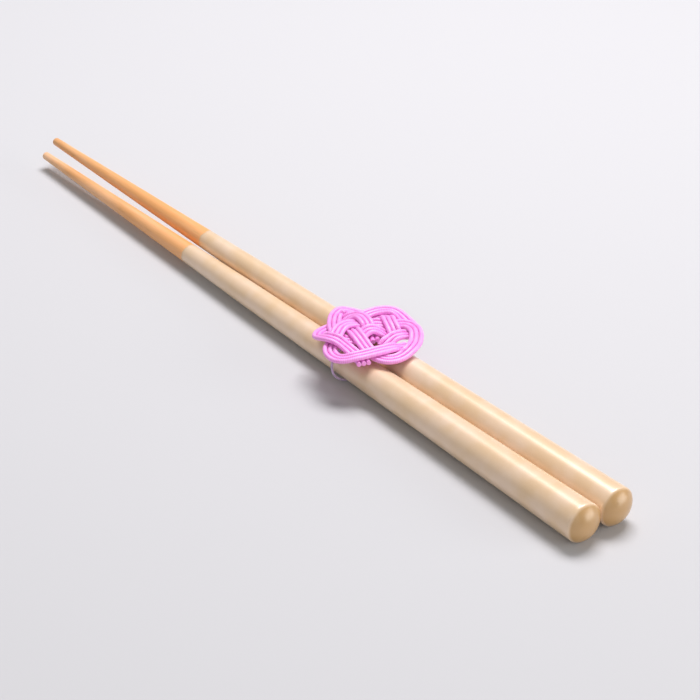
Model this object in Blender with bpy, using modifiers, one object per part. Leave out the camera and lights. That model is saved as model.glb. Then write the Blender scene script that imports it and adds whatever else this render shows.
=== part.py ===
"""A pair of round, tapered wooden chopsticks tied together with a paper-cord plum blossom knot.

The sticks lie side by side along X, with their thin ends towards -X, and touch along the handles.
An elastic ring goes round both of them, and the knot, woven from three cords that run side by
side, sits on top of the ring.  The origin is on the surface below the middle of the whole pair.
"""
import bpy
import numpy as np
from mathutils import Vector
from math import asin, cos, pi, radians, sin

MM = 0.001

# Driving dimensions, in millimetres
STICK_LENGTH = 210.0
TIP_RADIUS = 1.0             # at the very end, before its edge is rounded
WAIST_RADIUS = 2.88          # where the slim front third meets the handle's slower taper
WAIST_FROM_TIP = 90.0
HANDLE_RADIUS = 4.45         # at the rim of the handle's end
DOME_HEIGHT = 2.2            # how far the end bulges past its rim
TIP_ROUNDING = 0.35
TIP_SPREAD = 3.33            # between the two axes at the tips
HANDLE_SPREAD = 9.0          # between the two axes at the handle ends
LEFT_TIP_LIFT = 2.2          # height of each tip's underside above the surface
RIGHT_TIP_LIFT = 5.25
RING_X = 25.0                # where the elastic ring goes round the sticks, from mid-length
RING_LEAN = 2.0              # how much further forward it passes over them than under them
RING_RADIUS = 0.25
RING_SLACK = 0.2             # clear of the sticks all round
RING_BULGE = 0.8             # how far it stands off further on the left
CORD_RADIUS = 0.40
CORD_PITCH = 1.10            # from one cord's middle to the next across the band
CORD_CLEARANCE = 1.07        # least distance between the middles of two crossing cords
KNOT_CENTRE = (26.2, 1.1)
KNOT_TURN = radians(53.3)
KNOT_FLOOR = 9.1             # lowest that a cord's middle may lie over the sticks
RING_FLOOR = 9.75            # and over the top of the ring
LAYER = 0.58                 # rise of one layer of the weave
SPACING = 0.5                # between computed points along the band
SAG = 0.02                   # how far the cords sink in one round of settling
BAND_STIFFNESS = 0.15
SETTLING, PARTING = 300, 240 # rounds of sinking, and rounds that only part crossing cords
SOFTENING = 4                # while parting, one round in so many also smooths the cords
TURN_ROUNDING = 10           # rounds of smoothing of a band's turns, seen from above
OWN_NEIGHBOURS = 12          # points along one band that are too near to count as crossing
RING_HALF_WIDTH = 1.3        # of the strip over the ring where the cords ride higher
POINTS_KEPT = 3              # one in so many of them shapes the tube
STICK_SIDES = 32

# The routes of the knot's three bands, seen from above: along, across and layer.  Where two
# stretches cross, the one in the higher layer goes over.  Each band starts and ends under
# another, but for the first, whose tails stick out a little below the front petal.
ROUTES = {
    "left": [
        (1.2, -2.4, -3), (0.9, 0.0, -1), (0.3, 2.4, 0), (-0.2, 3.9, 1),
        (-0.9, 5.5, 1), (-1.9, 6.8, 1), (-3.2, 7.3, 1), (-4.4, 7.2, 1), (-5.8, 6.4, 0),
        (-7.5, 4.9, -1), (-9.1, 3.7, 0), (-10.4, 2.4, 0), (-10.9, 0.5, 0), (-10.2, -1.5, 0),
        (-8.6, -3.0, 1), (-6.3, -4.3, 1), (-4.5, -5.4, 0), (-3.0, -6.8, -1), (-2.0, -8.3, -2),
        (-1.4, -9.7, -3), (-1.1, -10.8, -3)],
    "front": [
        (3.3, -3.8, -3), (3.8, -3.2, -2), (5.0, -2.0, 1), (6.8, -0.6, 1), (8.9, 0.2, -1),
        (10.2, 1.9, -1), (10.3, 3.9, -1), (9.5, 5.8, 0), (8.3, 7.3, 0), (6.3, 8.9, 0),
        (3.9, 9.7, 0), (2.0, 9.6, 1), (0.3, 8.8, 1), (-1.2, 7.8, 0), (-2.2, 6.9, -1),
        (-3.0, 5.5, -1), (-3.6, 3.9, -1), (-3.5, 2.0, 0), (-2.8, -0.4, 1), (-1.8, -2.6, 1),
        (-0.4, -4.9, 1), (1.2, -7.2, -1), (2.7, -8.8, -1), (4.5, -9.4, 0), (6.9, -8.6, 0),
        (9.0, -6.7, 1), (10.4, -3.9, 1), (10.8, -1.0, 1), (10.6, 1.6, 1), (9.6, 3.5, 1),
        (7.8, 4.4, 1), (5.1, 4.6, -1), (2.2, 4.9, 0), (-0.4, 4.8, -1), (-2.3, 3.7, 0),
        (-3.2, 3.9, 1), (-4.2, 3.5, 1), (-5.2, 2.5, 1), (-6.2, 1.2, 1), (-6.8, -0.4, 0),
        (-7.4, -2.9, -1), (-8.7, -5.5, 0), (-8.0, -7.6, 0), (-6.7, -9.1, 0), (-4.5, -9.6, 1),
        (-2.0, -9.0, 1), (0.8, -7.8, 1), (3.5, -6.5, 1), (5.9, -5.2, 0), (7.5, -4.4, -2),
        (8.8, -3.6, -3)],
    "back": [
        (6.1, 0.5, -3), (6.0, 1.4, -1), (5.6, 2.5, 1), (5.1, 3.9, 1), (4.8, 5.5, 0),
        (4.6, 6.9, -1), (3.5, 8.4, -1), (2.0, 9.3, -1), (-0.2, 9.5, -1), (-2.0, 10.4, 0),
        (-3.9, 10.7, 0), (-5.8, 9.9, 0), (-6.9, 8.2, 0), (-7.3, 5.9, 1), (-7.4, 4.3, 1),
        (-7.3, 2.4, 0), (-6.8, 0.8, -1), (-5.9, -1.2, -1), (-4.1, -2.2, -1), (-2.4, -1.4, -1),
        (-1.0, 0.0, 0), (0.2, 0.9, 1), (2.0, 1.2, 1), (3.4, 1.0, -1), (4.4, 0.8, -3)],
}


def clear_scene():
    for item in list(bpy.data.objects):
        bpy.data.objects.remove(item, do_unlink=True)


def material(name, colour, roughness):
    made = bpy.data.materials.new(name)
    made.use_nodes = True
    shader = made.node_tree.nodes["Principled BSDF"]
    shader.inputs["Base Color"].default_value = (*colour, 1.0)
    shader.inputs["Roughness"].default_value = roughness
    shader.inputs["Metallic"].default_value = 0.0
    made.diffuse_color = (*colour, 1.0)
    return made


def place(collection, root, name, data, look):
    thing = bpy.data.objects.new(name, data)
    collection.objects.link(thing)
    thing.parent = root
    data.materials.append(look)
    return thing


def stick_radius(from_tip):
    if from_tip < WAIST_FROM_TIP:
        part = from_tip / WAIST_FROM_TIP
        return TIP_RADIUS + (WAIST_RADIUS - TIP_RADIUS) * part
    part = (from_tip - WAIST_FROM_TIP) / (STICK_LENGTH - DOME_HEIGHT - WAIST_FROM_TIP)
    return WAIST_RADIUS + (HANDLE_RADIUS - WAIST_RADIUS) * part


def stick_profile():
    """The outline from the dome's crown, down the handle, to the middle of the tip."""
    rim = STICK_LENGTH - DOME_HEIGHT
    ball = (HANDLE_RADIUS ** 2 + DOME_HEIGHT ** 2) / (2 * DOME_HEIGHT)
    widest = asin(HANDLE_RADIUS / ball)
    outline = [(ball * sin(widest * k / 5), STICK_LENGTH - ball * (1 - cos(widest * k / 5)))
               for k in range(6)]
    outline += [(stick_radius(at), at) for at in np.linspace(rim, WAIST_FROM_TIP, 6)[1:]]
    outline += [(stick_radius(at), at) for at in np.linspace(WAIST_FROM_TIP, TIP_ROUNDING, 5)[1:]]
    for k in range(1, 4):
        turn = pi / 2 * k / 3
        outline.append((TIP_RADIUS - TIP_ROUNDING * (1 - cos(turn)),
                        TIP_ROUNDING * (1 - sin(turn))))
    return outline + [(0.0, 0.0)]


def stick(collection, root, name, side, lift, look):
    """One chopstick, turned about its own axis and laid from its tip to its handle's end."""
    points = [(x * MM, 0.0, z * MM) for x, z in stick_profile()]
    mesh = bpy.data.meshes.new(name)
    mesh.from_pydata(points, [(k, k + 1) for k in range(len(points) - 1)], [])
    thing = place(collection, root, name, mesh, look)
    turned = thing.modifiers.new("Turned", "SCREW")
    turned.steps = turned.render_steps = STICK_SIDES
    turned.use_merge_vertices = True
    turned.merge_threshold = 0.00001
    turned.use_smooth_shade = True
    tip, end = stick_axis(side, lift)
    thing.location = tip * MM
    thing.rotation_euler = (end - tip).to_track_quat("Z", "Y").to_euler()
    return thing


def stick_axis(side, lift):
    tip = Vector((-STICK_LENGTH / 2, side * TIP_SPREAD / 2, TIP_RADIUS + lift))
    end = Vector((STICK_LENGTH / 2, side * HANDLE_SPREAD / 2, HANDLE_RADIUS))
    return tip, end


def axis_at(side, lift, x):
    tip, end = stick_axis(side, lift)
    return tip.lerp(end, (x - tip.x) / (end.x - tip.x))


def ring_route():
    """A loop round both sticks: two half turns, joined above them and along the surface below."""
    reach = stick_radius(RING_X + STICK_LENGTH / 2) + RING_SLACK + RING_RADIUS
    route = []
    for side, lift, wide in ((-1, LEFT_TIP_LIFT, reach + RING_BULGE), (1, RIGHT_TIP_LIFT, reach)):
        centre = axis_at(side, lift, RING_X)
        for k in range(13):
            turn = -side * pi / 2 + pi * k / 12
            high = reach if sin(turn) > 0 else centre.z - RING_RADIUS
            route.append((centre.y + wide * cos(turn), centre.z + high * sin(turn)))
    low, high = min(z for _, z in route), max(z for _, z in route)
    return [(RING_X + RING_LEAN * (0.5 - (z - low) / (high - low)), y, z) for y, z in route]


def tube(collection, root, name, points, radius, look, closed=False):
    curve = bpy.data.curves.new(name, "CURVE")
    curve.dimensions = "3D"
    curve.bevel_depth = radius * MM
    curve.bevel_resolution = 2
    curve.use_fill_caps = True
    run = curve.splines.new("POLY")
    run.points.add(len(points) - 1)
    for spot, (x, y, z) in zip(run.points, points):
        spot.co = (x * MM, y * MM, z * MM, 1.0)
        spot.radius = 1.0
    run.use_cyclic_u = closed
    run.use_smooth = True
    return place(collection, root, name, curve, look)


def smooth_line(points, spacing):
    """Evenly spaced points on a Catmull-Rom curve through the given ones."""
    points = np.array(points, float)
    ends = np.vstack([2 * points[0] - points[1], points, 2 * points[-1] - points[-2]])
    t = np.linspace(0, 1, 24, endpoint=False)[:, None]
    runs = []
    for a, b, c, d in zip(ends, ends[1:], ends[2:], ends[3:]):
        runs.append(b + 0.5 * t * (c - a + t * (2 * a - 5 * b + 4 * c - d
                                               + t * (3 * (b - c) + d - a))))
    fine = np.vstack(runs + [points[-1:]])
    along = np.concatenate([[0], np.cumsum(np.linalg.norm(np.diff(fine[:, :2], axis=0), axis=1))])
    marks = np.linspace(0, along[-1], int(along[-1] / spacing) + 1)
    return np.stack([np.interp(marks, along, fine[:, k]) for k in range(fine.shape[1])], axis=1)


def evened(line, rounds):
    line = line.copy()
    for _ in range(rounds):
        line[1:-1] += 0.25 * (line[:-2] - 2 * line[1:-1] + line[2:])
    return line


def crossings(band, ends):
    """Where the bands' middles cross: the two places along them, and which goes over."""
    a, b = band[:-1, :2], band[1:, :2]
    d = b - a
    offset = a[None] - a[:, None]
    cross = lambda p, q: p[..., 0] * q[..., 1] - p[..., 1] * q[..., 0]
    spread = cross(d[:, None], d[None])
    spread = np.where(np.abs(spread) < 1e-9, 1e-9, spread)
    s, t = cross(offset, d[None]) / spread, cross(offset, d[:, None]) / spread
    hit = (s >= 0) & (s < 1) & (t >= 0) & (t < 1) & np.triu(np.ones(s.shape, bool), 5)
    hit[ends] = hit[:, ends] = False                  # the gaps from one band to the next
    first, second = np.nonzero(hit)
    return first, second, np.sign(band[first, 2] - band[second, 2])


def side_by_side(band):
    """The three cords of one band, seen from above."""
    ahead = np.gradient(band[:, :2], axis=0)
    ahead /= np.linalg.norm(ahead, axis=1)[:, None]
    beside = np.stack([-ahead[:, 1], ahead[:, 0]], axis=1)
    return np.stack([band[:, :2] + shift * CORD_PITCH * beside for shift in (-1, 0, 1)])


def cord_lines():
    """The middles of all the cords, band by band: side by side, and stacked at crossings."""
    bands = [smooth_line(route, SPACING) for route in ROUTES.values()]
    for band in bands:
        band[:, :2] = evened(band[:, :2], TURN_ROUNDING)
    starts = np.cumsum([len(band) for band in bands])[:-1]
    joined = np.vstack(bands)
    first, second, over = crossings(joined, starts - 1)
    turn = np.array([[cos(KNOT_TURN), sin(KNOT_TURN)], [-sin(KNOT_TURN), cos(KNOT_TURN)]])
    plan = np.concatenate([side_by_side(band) for band in bands], axis=1) @ turn + KNOT_CENTRE
    flat = plan.reshape(-1, 2)
    at = np.tile(np.arange(len(joined)), 3)
    band_of = np.searchsorted(starts, at, side="right")
    apart = np.linalg.norm(flat[:, None] - flat[None], axis=2)
    along = at[None] - at[:, None]
    near = (apart < CORD_CLEARANCE) & (along > OWN_NEIGHBOURS * (band_of[:, None] == band_of[None]))
    i, j = np.nonzero(near)
    which = np.argmin(np.abs(at[i][:, None] - first) + np.abs(at[j][:, None] - second), axis=1)
    rise = joined[at[i], 2] - joined[at[j], 2]
    sign = np.where(np.abs(rise) > 1, np.sign(rise), over[which])
    need = np.sqrt(CORD_CLEARANCE ** 2 - apart[i, j] ** 2)
    over_ring = np.abs(flat[:, 0] - RING_X + RING_LEAN / 2) < RING_HALF_WIDTH
    floor = np.where(over_ring, RING_FLOOR, KNOT_FLOOR)
    height = RING_FLOOR + LAYER * (1 + np.tile(joined[:, 2], 3))
    for step in range(SETTLING + PARTING):
        if step < SETTLING or step % SOFTENING == 0:
            height = bent_evenly(height.reshape(3, -1), starts).reshape(-1)
        height = height - SAG * (step < SETTLING)
        lack = np.maximum(need - sign * (height[i] - height[j]), 0) / 2
        up, down = np.zeros_like(height), np.zeros_like(height)
        np.maximum.at(up, np.where(sign > 0, i, j), lack)
        np.maximum.at(down, np.where(sign > 0, j, i), lack)
        height = np.maximum(height + up - down, floor)
    lines = np.dstack([plan, bent_evenly(height.reshape(3, -1), starts)])
    return [cord for band in np.split(lines, starts, axis=1) for cord in band]


def bent_evenly(height, starts):
    """Cords resist sharp bends along themselves, and keep level with the ones beside them."""
    height = np.hstack([evened(band.T, 1).T for band in np.split(height, starts, axis=1)])
    return height + BAND_STIFFNESS * (height.mean(axis=0) - height)


def build():
    clear_scene()
    collection = bpy.data.collections.new("chopsticks_with_knot")
    bpy.context.scene.collection.children.link(collection)
    root = bpy.data.objects.new("pair", None)
    collection.objects.link(root)
    lacquer = material("pearl_lacquer", (0.80, 0.66, 0.52), 0.28)
    stick(collection, root, "left_chopstick", -1, LEFT_TIP_LIFT, lacquer)
    stick(collection, root, "right_chopstick", 1, RIGHT_TIP_LIFT, lacquer.copy())
    tube(collection, root, "elastic_ring", ring_route(), RING_RADIUS,
         material("pale_elastic", (0.66, 0.52, 0.70), 0.6), closed=True)
    lines = cord_lines()
    across = np.concatenate(lines)[:, 1]
    root.location.y = -(across.min() + across.max()) / 2 * MM
    names = [f"{band}_band_cord_{number}" for band in ROUTES for number in (1, 2, 3)]
    for name, line in zip(names, lines):
        tube(collection, root, name, line[::POINTS_KEPT], CORD_RADIUS,
             material("pink_paper", (0.93, 0.30, 0.75), 0.55))


build()
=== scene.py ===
"""Finish, light and camera for a pair of lacquered chopsticks tied with a paper-cord blossom."""

from math import asin, cos, pi, radians, sin

import bpy
import numpy as np
from mathutils import Matrix, Vector


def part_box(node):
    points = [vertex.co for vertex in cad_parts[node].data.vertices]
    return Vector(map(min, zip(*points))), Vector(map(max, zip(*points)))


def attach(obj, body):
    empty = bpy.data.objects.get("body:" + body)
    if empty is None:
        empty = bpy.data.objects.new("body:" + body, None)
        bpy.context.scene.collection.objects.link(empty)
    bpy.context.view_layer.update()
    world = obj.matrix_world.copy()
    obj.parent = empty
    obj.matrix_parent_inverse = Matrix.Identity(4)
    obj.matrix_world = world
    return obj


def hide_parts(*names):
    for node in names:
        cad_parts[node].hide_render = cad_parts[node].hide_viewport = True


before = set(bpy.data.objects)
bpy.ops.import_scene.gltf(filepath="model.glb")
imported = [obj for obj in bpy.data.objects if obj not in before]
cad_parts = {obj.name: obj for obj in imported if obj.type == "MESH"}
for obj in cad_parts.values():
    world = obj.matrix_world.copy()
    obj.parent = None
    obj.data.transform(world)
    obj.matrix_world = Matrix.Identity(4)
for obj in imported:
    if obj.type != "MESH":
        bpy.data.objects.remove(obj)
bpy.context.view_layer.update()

# ---------------------------------------------------------------------------------------------
# The two chopsticks: hardwood turned to a long taper with a domed end, the slim third left bare
# and oiled, the handle dipped in cream pearl lacquer that ends in a thin golden edge.
# ---------------------------------------------------------------------------------------------
MM = 0.001

# Millimetres
STICK_LENGTH = 210.0
TIP_RADIUS = 1.0             # at the very end, before its edge is rounded
WAIST_RADIUS = 2.88          # where the slim front third meets the handle's slower taper
WAIST_FROM_TIP = 90.0
HANDLE_RADIUS = 4.45         # at the rim of the handle's end
DOME_HEIGHT = 2.2            # how far the end bulges past its rim
RIM_ROUNDING = 0.28
TIP_ROUNDING = 0.35
TIP_SPREAD = 3.33            # between the two axes at the tips
HANDLE_SPREAD = 9.0          # between the two axes at the handle ends
LEFT_TIP_LIFT = 2.2          # height of each tip's underside above the surface
RIGHT_TIP_LIFT = 5.25
LACQUER_FROM_TIP = 67.0
STICK_SIDES = 96
MERGE_DISTANCE = 0.00001     # metres

left_low, left_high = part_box("left_chopstick")
right_low, right_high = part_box("right_chopstick")
SIDE_SHIFT = (left_low[1] + right_high[1]) / 2 / MM    # the knot hangs over one side of the pair


def stick_radius(from_tip):
    if from_tip < WAIST_FROM_TIP:
        return TIP_RADIUS + (WAIST_RADIUS - TIP_RADIUS) * from_tip / WAIST_FROM_TIP
    part = (from_tip - WAIST_FROM_TIP) / (STICK_LENGTH - DOME_HEIGHT - WAIST_FROM_TIP)
    return WAIST_RADIUS + (HANDLE_RADIUS - WAIST_RADIUS) * part


def stick_profile():
    """From the dome's crown over the rounded rim and down the taper to the middle of the tip."""
    rim = STICK_LENGTH - DOME_HEIGHT
    ball = (HANDLE_RADIUS ** 2 + DOME_HEIGHT ** 2) / (2 * DOME_HEIGHT)
    widest = asin(HANDLE_RADIUS / ball)
    last = widest - RIM_ROUNDING / ball
    outline = [(ball * sin(turn), STICK_LENGTH - ball * (1 - cos(turn)))
               for turn in np.linspace(0, last, 20)]
    start, corner, end = outline[-1], (HANDLE_RADIUS, rim), (HANDLE_RADIUS, rim - RIM_ROUNDING)
    for t in np.linspace(0, 1, 6)[1:]:
        outline.append(tuple((1 - t) ** 2 * a + 2 * t * (1 - t) * b + t * t * c
                             for a, b, c in zip(start, corner, end)))
    outline += [(stick_radius(at), at) for at in np.linspace(rim - 1, WAIST_FROM_TIP, 24)]
    outline += [(stick_radius(at), at) for at in np.linspace(WAIST_FROM_TIP, TIP_ROUNDING, 18)[1:]]
    for turn in np.linspace(0, pi / 2, 6)[1:]:
        outline.append((TIP_RADIUS - TIP_ROUNDING * (1 - cos(turn)),
                        TIP_ROUNDING * (1 - sin(turn))))
    return outline + [(0.0, 0.0)]


def stick_axis(side, lift):
    tip = Vector((-STICK_LENGTH / 2, side * TIP_SPREAD / 2 + SIDE_SHIFT, TIP_RADIUS + lift))
    end = Vector((STICK_LENGTH / 2, side * HANDLE_SPREAD / 2 + SIDE_SHIFT, HANDLE_RADIUS))
    return tip, end


def finished(name, draft, look, place=Matrix.Identity(4)):
    """The draft's evaluated shape as a plain mesh at the origin; the draft is dropped."""
    bpy.context.view_layer.update()
    ready = draft.evaluated_get(bpy.context.evaluated_depsgraph_get())
    mesh = bpy.data.meshes.new_from_object(ready)
    bpy.data.objects.remove(draft, do_unlink=True)
    mesh.transform(place)
    mesh.materials.clear()
    mesh.materials.append(look)
    mesh.name = name
    piece = bpy.data.objects.new(name, mesh)
    bpy.context.scene.collection.objects.link(piece)
    mesh.shade_smooth()
    return piece


def turned_stick(name, side, lift, look):
    """One chopstick, turned about its own axis and laid from its tip to its handle's end."""
    points = [(x * MM, 0.0, z * MM) for x, z in stick_profile()]
    mesh = bpy.data.meshes.new("outline")
    mesh.from_pydata(points, [(k, k + 1) for k in range(len(points) - 1)], [])
    draft = bpy.data.objects.new("outline", mesh)
    bpy.context.scene.collection.objects.link(draft)
    turned = draft.modifiers.new("Turned", "SCREW")
    turned.steps = turned.render_steps = STICK_SIDES
    turned.use_merge_vertices = True
    turned.merge_threshold = MERGE_DISTANCE
    turned.use_smooth_shade = True
    tip, end = stick_axis(side, lift)
    lay = Matrix.Translation(tip * MM) @ (end - tip).to_track_quat("Z", "Y").to_matrix().to_4x4()
    return finished(name, draft, look, lay)


class Wiring:
    """Short names for adding and joining the nodes of one tree."""

    def __init__(self, tree):
        self.tree = tree

    def add(self, kind, **settings):
        node = self.tree.nodes.new(kind)
        for key, value in settings.items():
            setattr(node, key, value)
        return node

    def join(self, source, target):
        self.tree.links.new(source, target)

    def math(self, operation, first, second=0.0):
        node = self.add("ShaderNodeMath", operation=operation)
        for socket, value in zip(node.inputs, (first, second)):
            if isinstance(value, (int, float)):
                socket.default_value = value
            else:
                self.join(value, socket)
        return node.outputs[0]

    def mix(self, amount, first, second):
        node = self.add("ShaderNodeMix", data_type="RGBA")
        for socket, value in ((node.inputs[0], amount), (node.inputs[6], first),
                              (node.inputs[7], second)):
            if isinstance(value, (int, float)):
                socket.default_value = value
            elif isinstance(value, tuple):
                socket.default_value = (*value, 1.0)
            else:
                self.join(value, socket)
        return node.outputs[2]

    def between(self, value, low, high, to_low=0.0, to_high=1.0):
        node = self.add("ShaderNodeMapRange", clamp=True)
        for socket, amount in zip(node.inputs[1:5], (low, high, to_low, to_high)):
            socket.default_value = amount
        self.join(value, node.inputs[0])
        return node.outputs[0]

    def noise(self, vector, scale, detail=3.0, roughness=0.5):
        node = self.add("ShaderNodeTexNoise")
        node.inputs["Scale"].default_value = scale
        node.inputs["Detail"].default_value = detail
        node.inputs["Roughness"].default_value = roughness
        self.join(vector, node.inputs["Vector"])
        return node.outputs["Fac"]

    def stretched(self, vector, scale):
        node = self.add("ShaderNodeMapping")
        node.inputs["Scale"].default_value = scale
        self.join(vector, node.inputs["Vector"])
        return node.outputs["Vector"]

    def bump(self, height, distance, strength):
        node = self.add("ShaderNodeBump")
        node.inputs["Distance"].default_value = distance
        node.inputs["Strength"].default_value = strength
        self.join(height, node.inputs["Height"])
        return node.outputs["Normal"]


def new_look(name):
    look = bpy.data.materials.new(name)
    look.use_nodes = True
    return look, Wiring(look.node_tree), look.node_tree.nodes["Principled BSDF"]


BARE_PALE = (0.88, 0.55, 0.33)
BARE_DARK = (0.72, 0.36, 0.14)
BARE_OILED = (0.84, 0.38, 0.12)       # the wood deepens towards the lacquer
PEARL_CREAM = (0.75, 0.53, 0.32)
PEARL_ROSE = (0.79, 0.59, 0.42)
PEARL_FLECK = (0.95, 0.90, 0.82)
DOME_PAINTED_REFLECTION = (0.46, 0.25, 0.07)     # painted reflection: the domed end painted a deeper brown-gold for the room it reflects
GOLDEN_EDGE = (0.62, 0.36, 0.12)

# Metres from the middle of the stick
TIP_END = -STICK_LENGTH / 2 * MM
LACQUER_EDGE = (LACQUER_FROM_TIP - STICK_LENGTH / 2) * MM
DOME_RIM = (STICK_LENGTH / 2 - DOME_HEIGHT) * MM
DOME_TOP = (STICK_LENGTH / 2 - DOME_HEIGHT + 0.5) * MM

GRAIN_SCALE, FIGURE_SCALE, PORE_SCALE = 2600.0, 420.0, 5200.0
CLOUD_SCALE, FLECK_SCALE, EDGE_SCALE = 160.0, 9000.0, 700.0
EDGE_WANDER = 0.0012                  # metres the lacquer's edge strays over its round
EDGE_WIDTH = 0.0006                   # metres of golden edge
COAT_ROUGHNESS = 0.26
RELIEF = 0.0001                       # metres, of the grain and of the step at the lacquer


def lacquered_wood(name, grain_offset):
    """Bare, oiled wood up to a golden edge, then pearl lacquer, with a painted reflection that
    darkens the domed end.
    """
    look, w, shader = new_look(name)
    place = w.add("ShaderNodeTexCoord").outputs["Object"]
    moved = w.add("ShaderNodeMapping")
    moved.inputs["Location"].default_value = grain_offset
    w.join(place, moved.inputs["Vector"])
    where = moved.outputs["Vector"]
    split = w.add("ShaderNodeSeparateXYZ")
    w.join(place, split.inputs[0])
    along = split.outputs["X"]

    grain = w.noise(w.stretched(where, (0.05, 1.0, 1.0)), GRAIN_SCALE, 4.0, 0.6)
    figure = w.noise(w.stretched(where, (0.12, 1.0, 1.0)), FIGURE_SCALE, 3.0, 0.5)
    pores = w.between(w.noise(w.stretched(where, (0.03, 1.0, 1.0)), PORE_SCALE, 2.0), 0.60, 0.72)
    bare = w.mix(w.between(figure, 0.35, 0.65), BARE_PALE, BARE_DARK)
    bare = w.mix(w.math("MULTIPLY", w.between(grain, 0.40, 0.75), 0.35), bare, BARE_DARK)
    bare = w.mix(w.between(along, TIP_END, LACQUER_EDGE, 0.0, 0.75), bare, BARE_OILED)
    bare = w.mix(w.math("MULTIPLY", pores, 0.35), bare, GOLDEN_EDGE)

    cloud = w.noise(where, CLOUD_SCALE, 2.0)
    fleck = w.between(w.noise(where, FLECK_SCALE, 1.0), 0.62, 0.75)
    pearl = w.mix(w.between(cloud, 0.35, 0.65), PEARL_CREAM, PEARL_ROSE)
    pearl = w.mix(w.math("MULTIPLY", fleck, 0.25), pearl, PEARL_FLECK)
    # painted reflection: past its rim the dome face is mixed towards a deep brown-gold that stands
    # for the room it reflects
    domed = w.between(along, DOME_RIM, DOME_TOP)
    pearl = w.mix(w.math("MULTIPLY", domed, 0.85), pearl, DOME_PAINTED_REFLECTION)

    stray = w.math("SUBTRACT", w.noise(where, EDGE_SCALE, 2.0), 0.5)
    wander = w.math("MULTIPLY", stray, EDGE_WANDER)
    past = w.math("SUBTRACT", w.math("ADD", along, wander), LACQUER_EDGE)
    dipped = w.between(past, -0.0001, 0.0001)
    undipped = w.math("SUBTRACT", 1.0, dipped)
    rim = w.math("MULTIPLY", w.between(past, EDGE_WIDTH, 0.0), dipped)
    colour = w.mix(dipped, bare, pearl)
    colour = w.mix(w.math("MULTIPLY", rim, 0.55), colour, GOLDEN_EDGE)
    w.join(colour, shader.inputs["Base Color"])

    wood_rough = w.between(grain, 0.3, 0.7, 0.36, 0.52)
    pearl_rough = w.between(cloud, 0.3, 0.7, 0.36, 0.42)
    rough = w.math("ADD", w.math("MULTIPLY", wood_rough, undipped),
                   w.math("MULTIPLY", pearl_rough, dipped))
    w.join(rough, shader.inputs["Roughness"])
    w.join(w.math("MULTIPLY", dipped, 0.8), shader.inputs["Coat Weight"])
    w.join(w.math("MULTIPLY", dipped, 0.05), shader.inputs["Metallic"])
    shader.inputs["Coat Roughness"].default_value = COAT_ROUGHNESS

    step = w.math("MULTIPLY", w.between(past, -0.0002, 0.0003), 0.6)
    open_grain = w.math("MULTIPLY", w.math("ADD", grain, w.math("MULTIPLY", pores, -0.6)), undipped)
    film = w.math("MULTIPLY", w.math("MULTIPLY", figure, dipped), 0.04)
    height = w.math("ADD", w.math("ADD", step, w.math("MULTIPLY", open_grain, 0.5)), film)
    w.join(w.bump(height, RELIEF, 0.6), shader.inputs["Normal"])
    return look


STICKS = (("left_chopstick", -1, LEFT_TIP_LIFT, (0.0, 0.0, 0.0)),
          ("right_chopstick", 1, RIGHT_TIP_LIFT, (0.31, 0.07, 0.02)))
for node, side, lift, grain_offset in STICKS:
    look = lacquered_wood(node.replace("chopstick", "lacquered_wood"), grain_offset)
    turned = turned_stick(node.replace("chopstick", "stick_turned"), side, lift, look)
    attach(turned, "root")
    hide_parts(node)

# ---------------------------------------------------------------------------------------------
# The elastic ring: a thin rubber core wound with pale lilac thread, looped once round both
# sticks a little loosely, with the knot sitting on its upper run.
# ---------------------------------------------------------------------------------------------
RING_X = 25.0                # where the elastic ring goes round the sticks, from mid-length
RING_LEAN = 2.0              # how much further forward it passes over them than under them
RING_RADIUS = 0.275
RING_SLACK = 0.175           # clear of the sticks all round
RING_BULGE = 0.8             # how far it stands off further on the left
RING_THREAD = 0.00022        # metres the winding advances in one turn
CORD_SIDES = 16


def ring_route():
    """Two half turns, joined above the sticks and along the surface below them."""
    reach = stick_radius(RING_X + STICK_LENGTH / 2) + RING_SLACK + RING_RADIUS
    route = []
    for side, lift, wide in ((-1, LEFT_TIP_LIFT, reach + RING_BULGE), (1, RIGHT_TIP_LIFT, reach)):
        tip, end = stick_axis(side, lift)
        centre = tip.lerp(end, (RING_X - tip.x) / (end.x - tip.x))
        for turn in np.linspace(-side * pi / 2, -side * pi / 2 + pi, 33):
            high = reach if sin(turn) > 0 else centre.z - RING_RADIUS
            route.append((centre.y + wide * cos(turn), centre.z + high * sin(turn)))
    low, high = min(z for _, z in route), max(z for _, z in route)
    return [(RING_X + RING_LEAN * (0.5 - (z - low) / (high - low)), y, z) for y, z in route]


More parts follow.
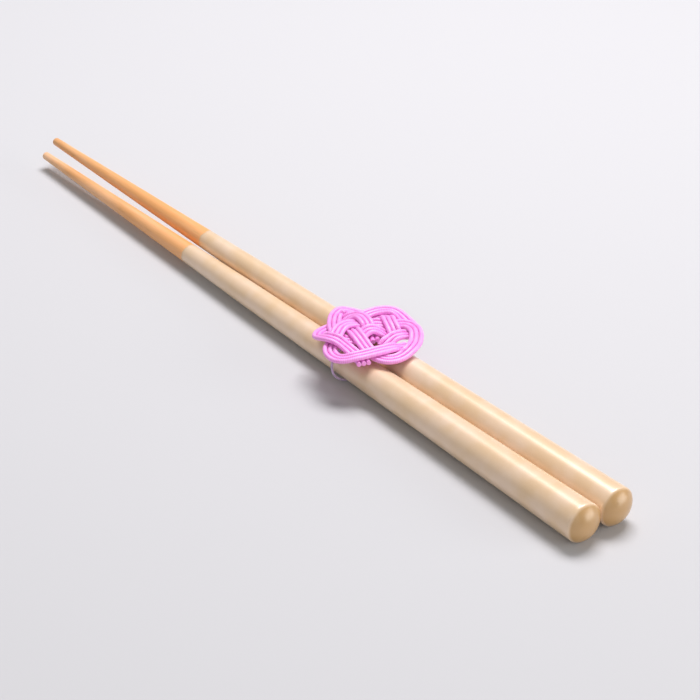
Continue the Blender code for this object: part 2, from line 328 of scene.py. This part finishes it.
def wound_cord_tree():
    """Sweeps a round section along a line, keeping how far along and where around each point is."""
    tree = bpy.data.node_groups.new("wound_cord", "GeometryNodeTree")
    face = tree.interface
    face.new_socket("Line", in_out="INPUT", socket_type="NodeSocketGeometry")
    face.new_socket("Radius", in_out="INPUT", socket_type="NodeSocketFloat")
    face.new_socket("Sides", in_out="INPUT", socket_type="NodeSocketInt")
    face.new_socket("Finish", in_out="INPUT", socket_type="NodeSocketMaterial")
    face.new_socket("Cord", in_out="OUTPUT", socket_type="NodeSocketGeometry")
    w = Wiring(tree)
    given, result = w.add("NodeGroupInput"), w.add("NodeGroupOutput")

    along = w.add("GeometryNodeStoreNamedAttribute", data_type="FLOAT", domain="POINT")
    along.inputs["Name"].default_value = "along"
    w.join(given.outputs["Line"], along.inputs["Geometry"])
    w.join(w.add("GeometryNodeSplineParameter").outputs["Length"], along.inputs["Value"])

    section = w.add("GeometryNodeCurvePrimitiveCircle")
    w.join(given.outputs["Sides"], section.inputs["Resolution"])
    w.join(given.outputs["Radius"], section.inputs["Radius"])
    turn = w.math("MULTIPLY", w.add("GeometryNodeSplineParameter").outputs["Factor"], 2 * pi)
    around_at = w.add("ShaderNodeCombineXYZ")
    w.join(w.math("COSINE", turn), around_at.inputs["X"])
    w.join(w.math("SINE", turn), around_at.inputs["Y"])
    around = w.add("GeometryNodeStoreNamedAttribute", data_type="FLOAT_VECTOR", domain="POINT")
    around.inputs["Name"].default_value = "around"
    w.join(section.outputs["Curve"], around.inputs["Geometry"])
    w.join(around_at.outputs[0], around.inputs["Value"])
    sweep = w.add("GeometryNodeCurveToMesh")
    sweep.inputs["Fill Caps"].default_value = True
    w.join(along.outputs["Geometry"], sweep.inputs["Curve"])
    w.join(around.outputs["Geometry"], sweep.inputs["Profile Curve"])
    realised, finish = w.add("GeometryNodeRealizeInstances"), w.add("GeometryNodeSetMaterial")
    w.join(sweep.outputs["Mesh"], realised.inputs["Geometry"])
    w.join(realised.outputs["Geometry"], finish.inputs["Geometry"])
    w.join(given.outputs["Finish"], finish.inputs["Material"])
    w.join(finish.outputs["Geometry"], result.inputs["Cord"])
    return tree


WOUND_CORD = wound_cord_tree()


def wound_cord(name, points, radius, look, closed=False):
    """A cord of the given radius along the points, as a finished piece."""
    curve = bpy.data.curves.new(name, "CURVE")
    curve.dimensions = "3D"
    line = curve.splines.new("POLY")
    line.points.add(len(points) - 1)
    for spot, (x, y, z) in zip(line.points, points):
        spot.co = (x * MM, y * MM, z * MM, 1.0)
    line.use_cyclic_u = closed
    draft = bpy.data.objects.new(name + "_line", curve)
    bpy.context.scene.collection.objects.link(draft)
    wind = draft.modifiers.new("Wound", "NODES")
    wind.node_group = WOUND_CORD
    values = {"Radius": radius * MM, "Sides": CORD_SIDES, "Finish": look}
    for socket in WOUND_CORD.interface.items_tree:
        if socket.in_out == "INPUT" and socket.name in values:
            wind[socket.identifier] = values[socket.name]
    return finished(name, draft, look)


DRIFT_SCALE = 900.0          # of the unevenness of the winding


def winding_group():
    """The fine helical ridges of thread or paper wound on a core, from the swept attributes."""
    group = bpy.data.node_groups.new("winding", "ShaderNodeTree")
    face = group.interface
    for name, value in (("Advance", 0.0003), ("Wander", 1.0)):
        face.new_socket(name, in_out="INPUT", socket_type="NodeSocketFloat").default_value = value
    face.new_socket("Ridge", in_out="OUTPUT", socket_type="NodeSocketFloat")
    face.new_socket("Uneven", in_out="OUTPUT", socket_type="NodeSocketFloat")
    w = Wiring(group)
    given, result = w.add("NodeGroupInput"), w.add("NodeGroupOutput")
    along = w.add("ShaderNodeAttribute", attribute_name="along").outputs["Fac"]
    around = w.add("ShaderNodeSeparateXYZ")
    w.join(w.add("ShaderNodeAttribute", attribute_name="around").outputs["Vector"],
           around.inputs[0])
    drift = w.noise(w.add("ShaderNodeTexCoord").outputs["Object"], DRIFT_SCALE, 2.0)
    phase = w.math("DIVIDE", w.math("MULTIPLY", along, 2 * pi), given.outputs["Advance"])
    phase = w.math("ADD", phase, w.math("MULTIPLY", drift, given.outputs["Wander"]))
    wave = w.math("ADD", w.math("MULTIPLY", w.math("SINE", phase), around.outputs["X"]),
                  w.math("MULTIPLY", w.math("COSINE", phase), around.outputs["Y"]))
    w.join(w.between(wave, -1.0, 1.0), result.inputs["Ridge"])
    w.join(drift, result.inputs["Uneven"])
    return group


WINDING = winding_group()


def wound_look(name, pale, deep, advance, ridge_depth, roughness):
    look, w, shader = new_look(name)
    wound = w.add("ShaderNodeGroup", node_tree=WINDING)
    wound.inputs["Advance"].default_value = advance
    wound.inputs["Wander"].default_value = 1.2
    # painted shade: the grooves of the winding are mixed towards the deep colour, together with a
    # random unevenness of tone; the same ridge also drives the bump
    groove_shade_and_tone = w.math("ADD", w.math("MULTIPLY", wound.outputs["Ridge"], 0.3),
                   w.math("MULTIPLY", wound.outputs["Uneven"], 0.5))
    w.join(w.mix(w.between(groove_shade_and_tone, 0.10, 0.60), deep, pale), shader.inputs["Base Color"])
    w.join(w.between(wound.outputs["Uneven"], 0.3, 0.7, roughness - 0.05, roughness + 0.07),
           shader.inputs["Roughness"])
    w.join(w.bump(wound.outputs["Ridge"], ridge_depth, 0.5), shader.inputs["Normal"])
    return look, shader


lilac_thread, lilac_shader = wound_look("lilac_thread", (0.66, 0.50, 0.74), (0.40, 0.30, 0.48),
                                        RING_THREAD, 0.00003, 0.5)
lilac_shader.inputs["Sheen Weight"].default_value = 0.3
ring = wound_cord("elastic_ring_wound", ring_route(), RING_RADIUS, lilac_thread, closed=True)
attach(ring, "root")
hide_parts("elastic_ring")

# ---------------------------------------------------------------------------------------------
# The blossom knot: stiff cords of twisted paper, wrapped in a shiny pink film and laid three side
# by side, woven through five petals.  Three bands of cords lie on one another where they cross;
# their ends are hidden in the weave, but for the cut tails below the front petal.
# ---------------------------------------------------------------------------------------------
CORD_RADIUS = 0.53
CORD_PITCH = 1.10            # from one cord's middle to the next across the band
CORD_CLEARANCE = 1.07        # least distance between the middles of two crossing cords
KNOT_CENTRE = (26.2, 1.1 + SIDE_SHIFT)
KNOT_TURN = radians(53.3)
KNOT_FLOOR = 9.1             # lowest that a cord's middle may lie over the sticks
RING_FLOOR = 9.75            # and over the top of the ring
RING_HALF_WIDTH = 1.3        # of the strip over the ring where the cords ride higher
LAYER = 0.58                 # rise of one layer of the weave
SPACING = 0.5                # between computed points along the band
SAG = 0.02                   # how far the cords sink in one round of settling
BAND_STIFFNESS = 0.15
SETTLING, PARTING = 300, 240 # rounds of sinking, and rounds that only part crossing cords
SOFTENING = 4                # while parting, one round in so many also smooths the cords
TURN_ROUNDING = 10           # rounds of smoothing of a band's turns, seen from above
OWN_NEIGHBOURS = 12          # points along one band that are too near to count as crossing
CORD_WRAP = 0.00038          # metres the paper wrapping advances in one turn

# The routes of the knot's three bands, seen from above: along, across and layer.  Where two
# stretches cross, the one in the higher layer goes over.  Each band starts and ends under
# another, but for the first, whose tails stick out a little below the front petal.
ROUTES = {
    "left": [
        (1.2, -2.4, -3), (0.9, 0.0, -1), (0.3, 2.4, 0), (-0.2, 3.9, 1),
        (-0.9, 5.5, 1), (-1.9, 6.8, 1), (-3.2, 7.3, 1), (-4.4, 7.2, 1), (-5.8, 6.4, 0),
        (-7.5, 4.9, -1), (-9.1, 3.7, 0), (-10.4, 2.4, 0), (-10.9, 0.5, 0), (-10.2, -1.5, 0),
        (-8.6, -3.0, 1), (-6.3, -4.3, 1), (-4.5, -5.4, 0), (-3.0, -6.8, -1), (-2.0, -8.3, -2),
        (-1.4, -9.7, -3), (-1.1, -10.8, -3)],
    "front": [
        (3.3, -3.8, -3), (3.8, -3.2, -2), (5.0, -2.0, 1), (6.8, -0.6, 1), (8.9, 0.2, -1),
        (10.2, 1.9, -1), (10.3, 3.9, -1), (9.5, 5.8, 0), (8.3, 7.3, 0), (6.3, 8.9, 0),
        (3.9, 9.7, 0), (2.0, 9.6, 1), (0.3, 8.8, 1), (-1.2, 7.8, 0), (-2.2, 6.9, -1),
        (-3.0, 5.5, -1), (-3.6, 3.9, -1), (-3.5, 2.0, 0), (-2.8, -0.4, 1), (-1.8, -2.6, 1),
        (-0.4, -4.9, 1), (1.2, -7.2, -1), (2.7, -8.8, -1), (4.5, -9.4, 0), (6.9, -8.6, 0),
        (9.0, -6.7, 1), (10.4, -3.9, 1), (10.8, -1.0, 1), (10.6, 1.6, 1), (9.6, 3.5, 1),
        (7.8, 4.4, 1), (5.1, 4.6, -1), (2.2, 4.9, 0), (-0.4, 4.8, -1), (-2.3, 3.7, 0),
        (-3.2, 3.9, 1), (-4.2, 3.5, 1), (-5.2, 2.5, 1), (-6.2, 1.2, 1), (-6.8, -0.4, 0),
        (-7.4, -2.9, -1), (-8.7, -5.5, 0), (-8.0, -7.6, 0), (-6.7, -9.1, 0), (-4.5, -9.6, 1),
        (-2.0, -9.0, 1), (0.8, -7.8, 1), (3.5, -6.5, 1), (5.9, -5.2, 0), (7.5, -4.4, -2),
        (8.8, -3.6, -3)],
    "back": [
        (6.1, 0.5, -3), (6.0, 1.4, -1), (5.6, 2.5, 1), (5.1, 3.9, 1), (4.8, 5.5, 0),
        (4.6, 6.9, -1), (3.5, 8.4, -1), (2.0, 9.3, -1), (-0.2, 9.5, -1), (-2.0, 10.4, 0),
        (-3.9, 10.7, 0), (-5.8, 9.9, 0), (-6.9, 8.2, 0), (-7.3, 5.9, 1), (-7.4, 4.3, 1),
        (-7.3, 2.4, 0), (-6.8, 0.8, -1), (-5.9, -1.2, -1), (-4.1, -2.2, -1), (-2.4, -1.4, -1),
        (-1.0, 0.0, 0), (0.2, 0.9, 1), (2.0, 1.2, 1), (3.4, 1.0, -1), (4.4, 0.8, -3)],
}


def smooth_line(points, spacing):
    """Evenly spaced points on a Catmull-Rom curve through the given ones."""
    points = np.array(points, float)
    ends = np.vstack([2 * points[0] - points[1], points, 2 * points[-1] - points[-2]])
    t = np.linspace(0, 1, 24, endpoint=False)[:, None]
    runs = []
    for a, b, c, d in zip(ends, ends[1:], ends[2:], ends[3:]):
        runs.append(b + 0.5 * t * (c - a + t * (2 * a - 5 * b + 4 * c - d
                                               + t * (3 * (b - c) + d - a))))
    fine = np.vstack(runs + [points[-1:]])
    along = np.concatenate([[0], np.cumsum(np.linalg.norm(np.diff(fine[:, :2], axis=0), axis=1))])
    marks = np.linspace(0, along[-1], int(along[-1] / spacing) + 1)
    return np.stack([np.interp(marks, along, fine[:, k]) for k in range(fine.shape[1])], axis=1)


def evened(line, rounds):
    """The line with each inner point drawn towards the middle of its neighbours."""
    line = line.copy()
    for _ in range(rounds):
        line[1:-1] += 0.25 * (line[:-2] - 2 * line[1:-1] + line[2:])
    return line


def crossings(band, ends):
    """Where the bands' middles cross: the two places along them, and which goes over."""
    a, b = band[:-1, :2], band[1:, :2]
    d = b - a
    offset = a[None] - a[:, None]
    cross = lambda p, q: p[..., 0] * q[..., 1] - p[..., 1] * q[..., 0]
    spread = cross(d[:, None], d[None])
    spread = np.where(np.abs(spread) < 1e-9, 1e-9, spread)
    s, t = cross(offset, d[None]) / spread, cross(offset, d[:, None]) / spread
    hit = (s >= 0) & (s < 1) & (t >= 0) & (t < 1) & np.triu(np.ones(s.shape, bool), 5)
    hit[ends] = hit[:, ends] = False                  # the gaps from one band to the next
    first, second = np.nonzero(hit)
    return first, second, np.sign(band[first, 2] - band[second, 2])


def side_by_side(band):
    """The three cords of one band, seen from above."""
    ahead = np.gradient(band[:, :2], axis=0)
    ahead /= np.linalg.norm(ahead, axis=1)[:, None]
    beside = np.stack([-ahead[:, 1], ahead[:, 0]], axis=1)
    return np.stack([band[:, :2] + shift * CORD_PITCH * beside for shift in (-1, 0, 1)])


def cord_lines():
    """The middles of all the cords, band by band: side by side, and stacked at crossings."""
    bands = [smooth_line(route, SPACING) for route in ROUTES.values()]
    for band in bands:
        band[:, :2] = evened(band[:, :2], TURN_ROUNDING)
    starts = np.cumsum([len(band) for band in bands])[:-1]
    joined = np.vstack(bands)
    first, second, over = crossings(joined, starts - 1)
    turn = np.array([[cos(KNOT_TURN), sin(KNOT_TURN)], [-sin(KNOT_TURN), cos(KNOT_TURN)]])
    plan = np.concatenate([side_by_side(band) for band in bands], axis=1) @ turn + KNOT_CENTRE
    flat = plan.reshape(-1, 2)
    at = np.tile(np.arange(len(joined)), 3)
    band_of = np.searchsorted(starts, at, side="right")
    apart = np.linalg.norm(flat[:, None] - flat[None], axis=2)
    along = at[None] - at[:, None]
    near = (apart < CORD_CLEARANCE) & (along > OWN_NEIGHBOURS * (band_of[:, None] == band_of[None]))
    i, j = np.nonzero(near)
    which = np.argmin(np.abs(at[i][:, None] - first) + np.abs(at[j][:, None] - second), axis=1)
    rise = joined[at[i], 2] - joined[at[j], 2]
    sign = np.where(np.abs(rise) > 1, np.sign(rise), over[which])
    need = np.sqrt(CORD_CLEARANCE ** 2 - apart[i, j] ** 2)
    over_ring = np.abs(flat[:, 0] - RING_X + RING_LEAN / 2) < RING_HALF_WIDTH
    floor = np.where(over_ring, RING_FLOOR, KNOT_FLOOR)
    height = RING_FLOOR + LAYER * (1 + np.tile(joined[:, 2], 3))
    for step in range(SETTLING + PARTING):
        if step < SETTLING or step % SOFTENING == 0:
            height = bent_evenly(height.reshape(3, -1), starts).reshape(-1)
        height = height - SAG * (step < SETTLING)
        lack = np.maximum(need - sign * (height[i] - height[j]), 0) / 2
        up, down = np.zeros_like(height), np.zeros_like(height)
        np.maximum.at(up, np.where(sign > 0, i, j), lack)
        np.maximum.at(down, np.where(sign > 0, j, i), lack)
        height = np.maximum(height + up - down, floor)
    lines = np.dstack([plan, bent_evenly(height.reshape(3, -1), starts)])
    return [cord for band in np.split(lines, starts, axis=1) for cord in band]


def bent_evenly(height, starts):
    """Cords resist sharp bends along themselves, and keep level with the ones beside them."""
    height = np.hstack([evened(band.T, 1).T for band in np.split(height, starts, axis=1)])
    return height + BAND_STIFFNESS * (height.mean(axis=0) - height)


pink_wrap, pink_shader = wound_look("pink_paper_wrap", (0.95, 0.42, 0.88), (0.85, 0.19, 0.62),
                                    CORD_WRAP, 0.000012, 0.40)
pink_shader.inputs["Coat Weight"].default_value = 0.2
pink_shader.inputs["Coat Roughness"].default_value = 0.25
CORDS = [f"{band}_band_cord_{number}" for band in ROUTES for number in (1, 2, 3)]
for node, line in zip(CORDS, cord_lines()):
    cord = wound_cord(node + "_wrapped", line, CORD_RADIUS, pink_wrap)
    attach(cord, "root")
    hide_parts(node)

# ---------------------------------------------------------------------------------------------
# The setting: a plain pale floor, a broad soft light over the sticks, weaker ones in front and at
# the side of the domed ends, a soft room all round, and the camera low over the handle ends.
# ---------------------------------------------------------------------------------------------
bpy.ops.mesh.primitive_plane_add(size=6.0, location=(0.0, 0.0, -0.0002))
floor = bpy.context.object
floor.name = "floor"
floor_look, _, floor_shader = new_look("pale_floor")
floor_shader.inputs["Base Color"].default_value = (0.55, 0.55, 0.56, 1.0)
floor_shader.inputs["Roughness"].default_value = 0.85
floor.data.materials.append(floor_look)


def soft_light(name, place, size, power, colour):
    """An area light that faces the origin: metres, watts."""
    data = bpy.data.lights.new(name, "AREA")
    data.shape, data.size, data.size_y = "RECTANGLE", *size
    data.energy, data.color = power, colour
    light = bpy.data.objects.new(name, data)
    bpy.context.scene.collection.objects.link(light)
    light.location = place
    light.rotation_euler = Vector(place).to_track_quat("Z", "Y").to_euler()
    return light


overhead = soft_light("overhead", (-0.15, 0.25, 0.70), (0.50, 0.30), 7.0, (1.0, 0.97, 1.0))
front = soft_light("front", (0.75, -0.55, 0.45), (0.9, 0.9), 2.0, (1.0, 0.97, 0.94))
side = soft_light("side", (0.68, 0.44, 0.06), (0.60, 0.60), 4.5, (1.0, 0.99, 0.98))

world = bpy.data.worlds.new("soft_room")
world.use_nodes = True
world.node_tree.nodes["Background"].inputs["Color"].default_value = (0.96, 0.98, 1.0, 1.0)
world.node_tree.nodes["Background"].inputs["Strength"].default_value = 0.32
bpy.context.scene.world = world
bpy.context.scene.view_settings.view_transform = "Standard"

CAMERA_AZIMUTH, CAMERA_ELEVATION, CAMERA_ROLL = radians(52.14), radians(31.55), radians(-0.27)
CAMERA_DISTANCE = 546.4
AIM = Vector((10.19, 8.57 + SIDE_SHIFT, -4.54))
lens = bpy.data.cameras.new("camera")
lens.lens = 121.78
lens.sensor_width = 36.0
lens.clip_start, lens.clip_end = 0.01, 20.0
camera = bpy.data.objects.new("camera", lens)
bpy.context.scene.collection.objects.link(camera)
turn = (Matrix.Rotation(CAMERA_AZIMUTH, 4, "Z") @ Matrix.Rotation(pi / 2 - CAMERA_ELEVATION, 4, "X")
        @ Matrix.Rotation(CAMERA_ROLL, 4, "Z"))
eye = (AIM + turn.to_3x3() @ Vector((0.0, 0.0, CAMERA_DISTANCE))) * MM
camera.matrix_world = Matrix.Translation(eye) @ turn
bpy.context.scene.camera = camera
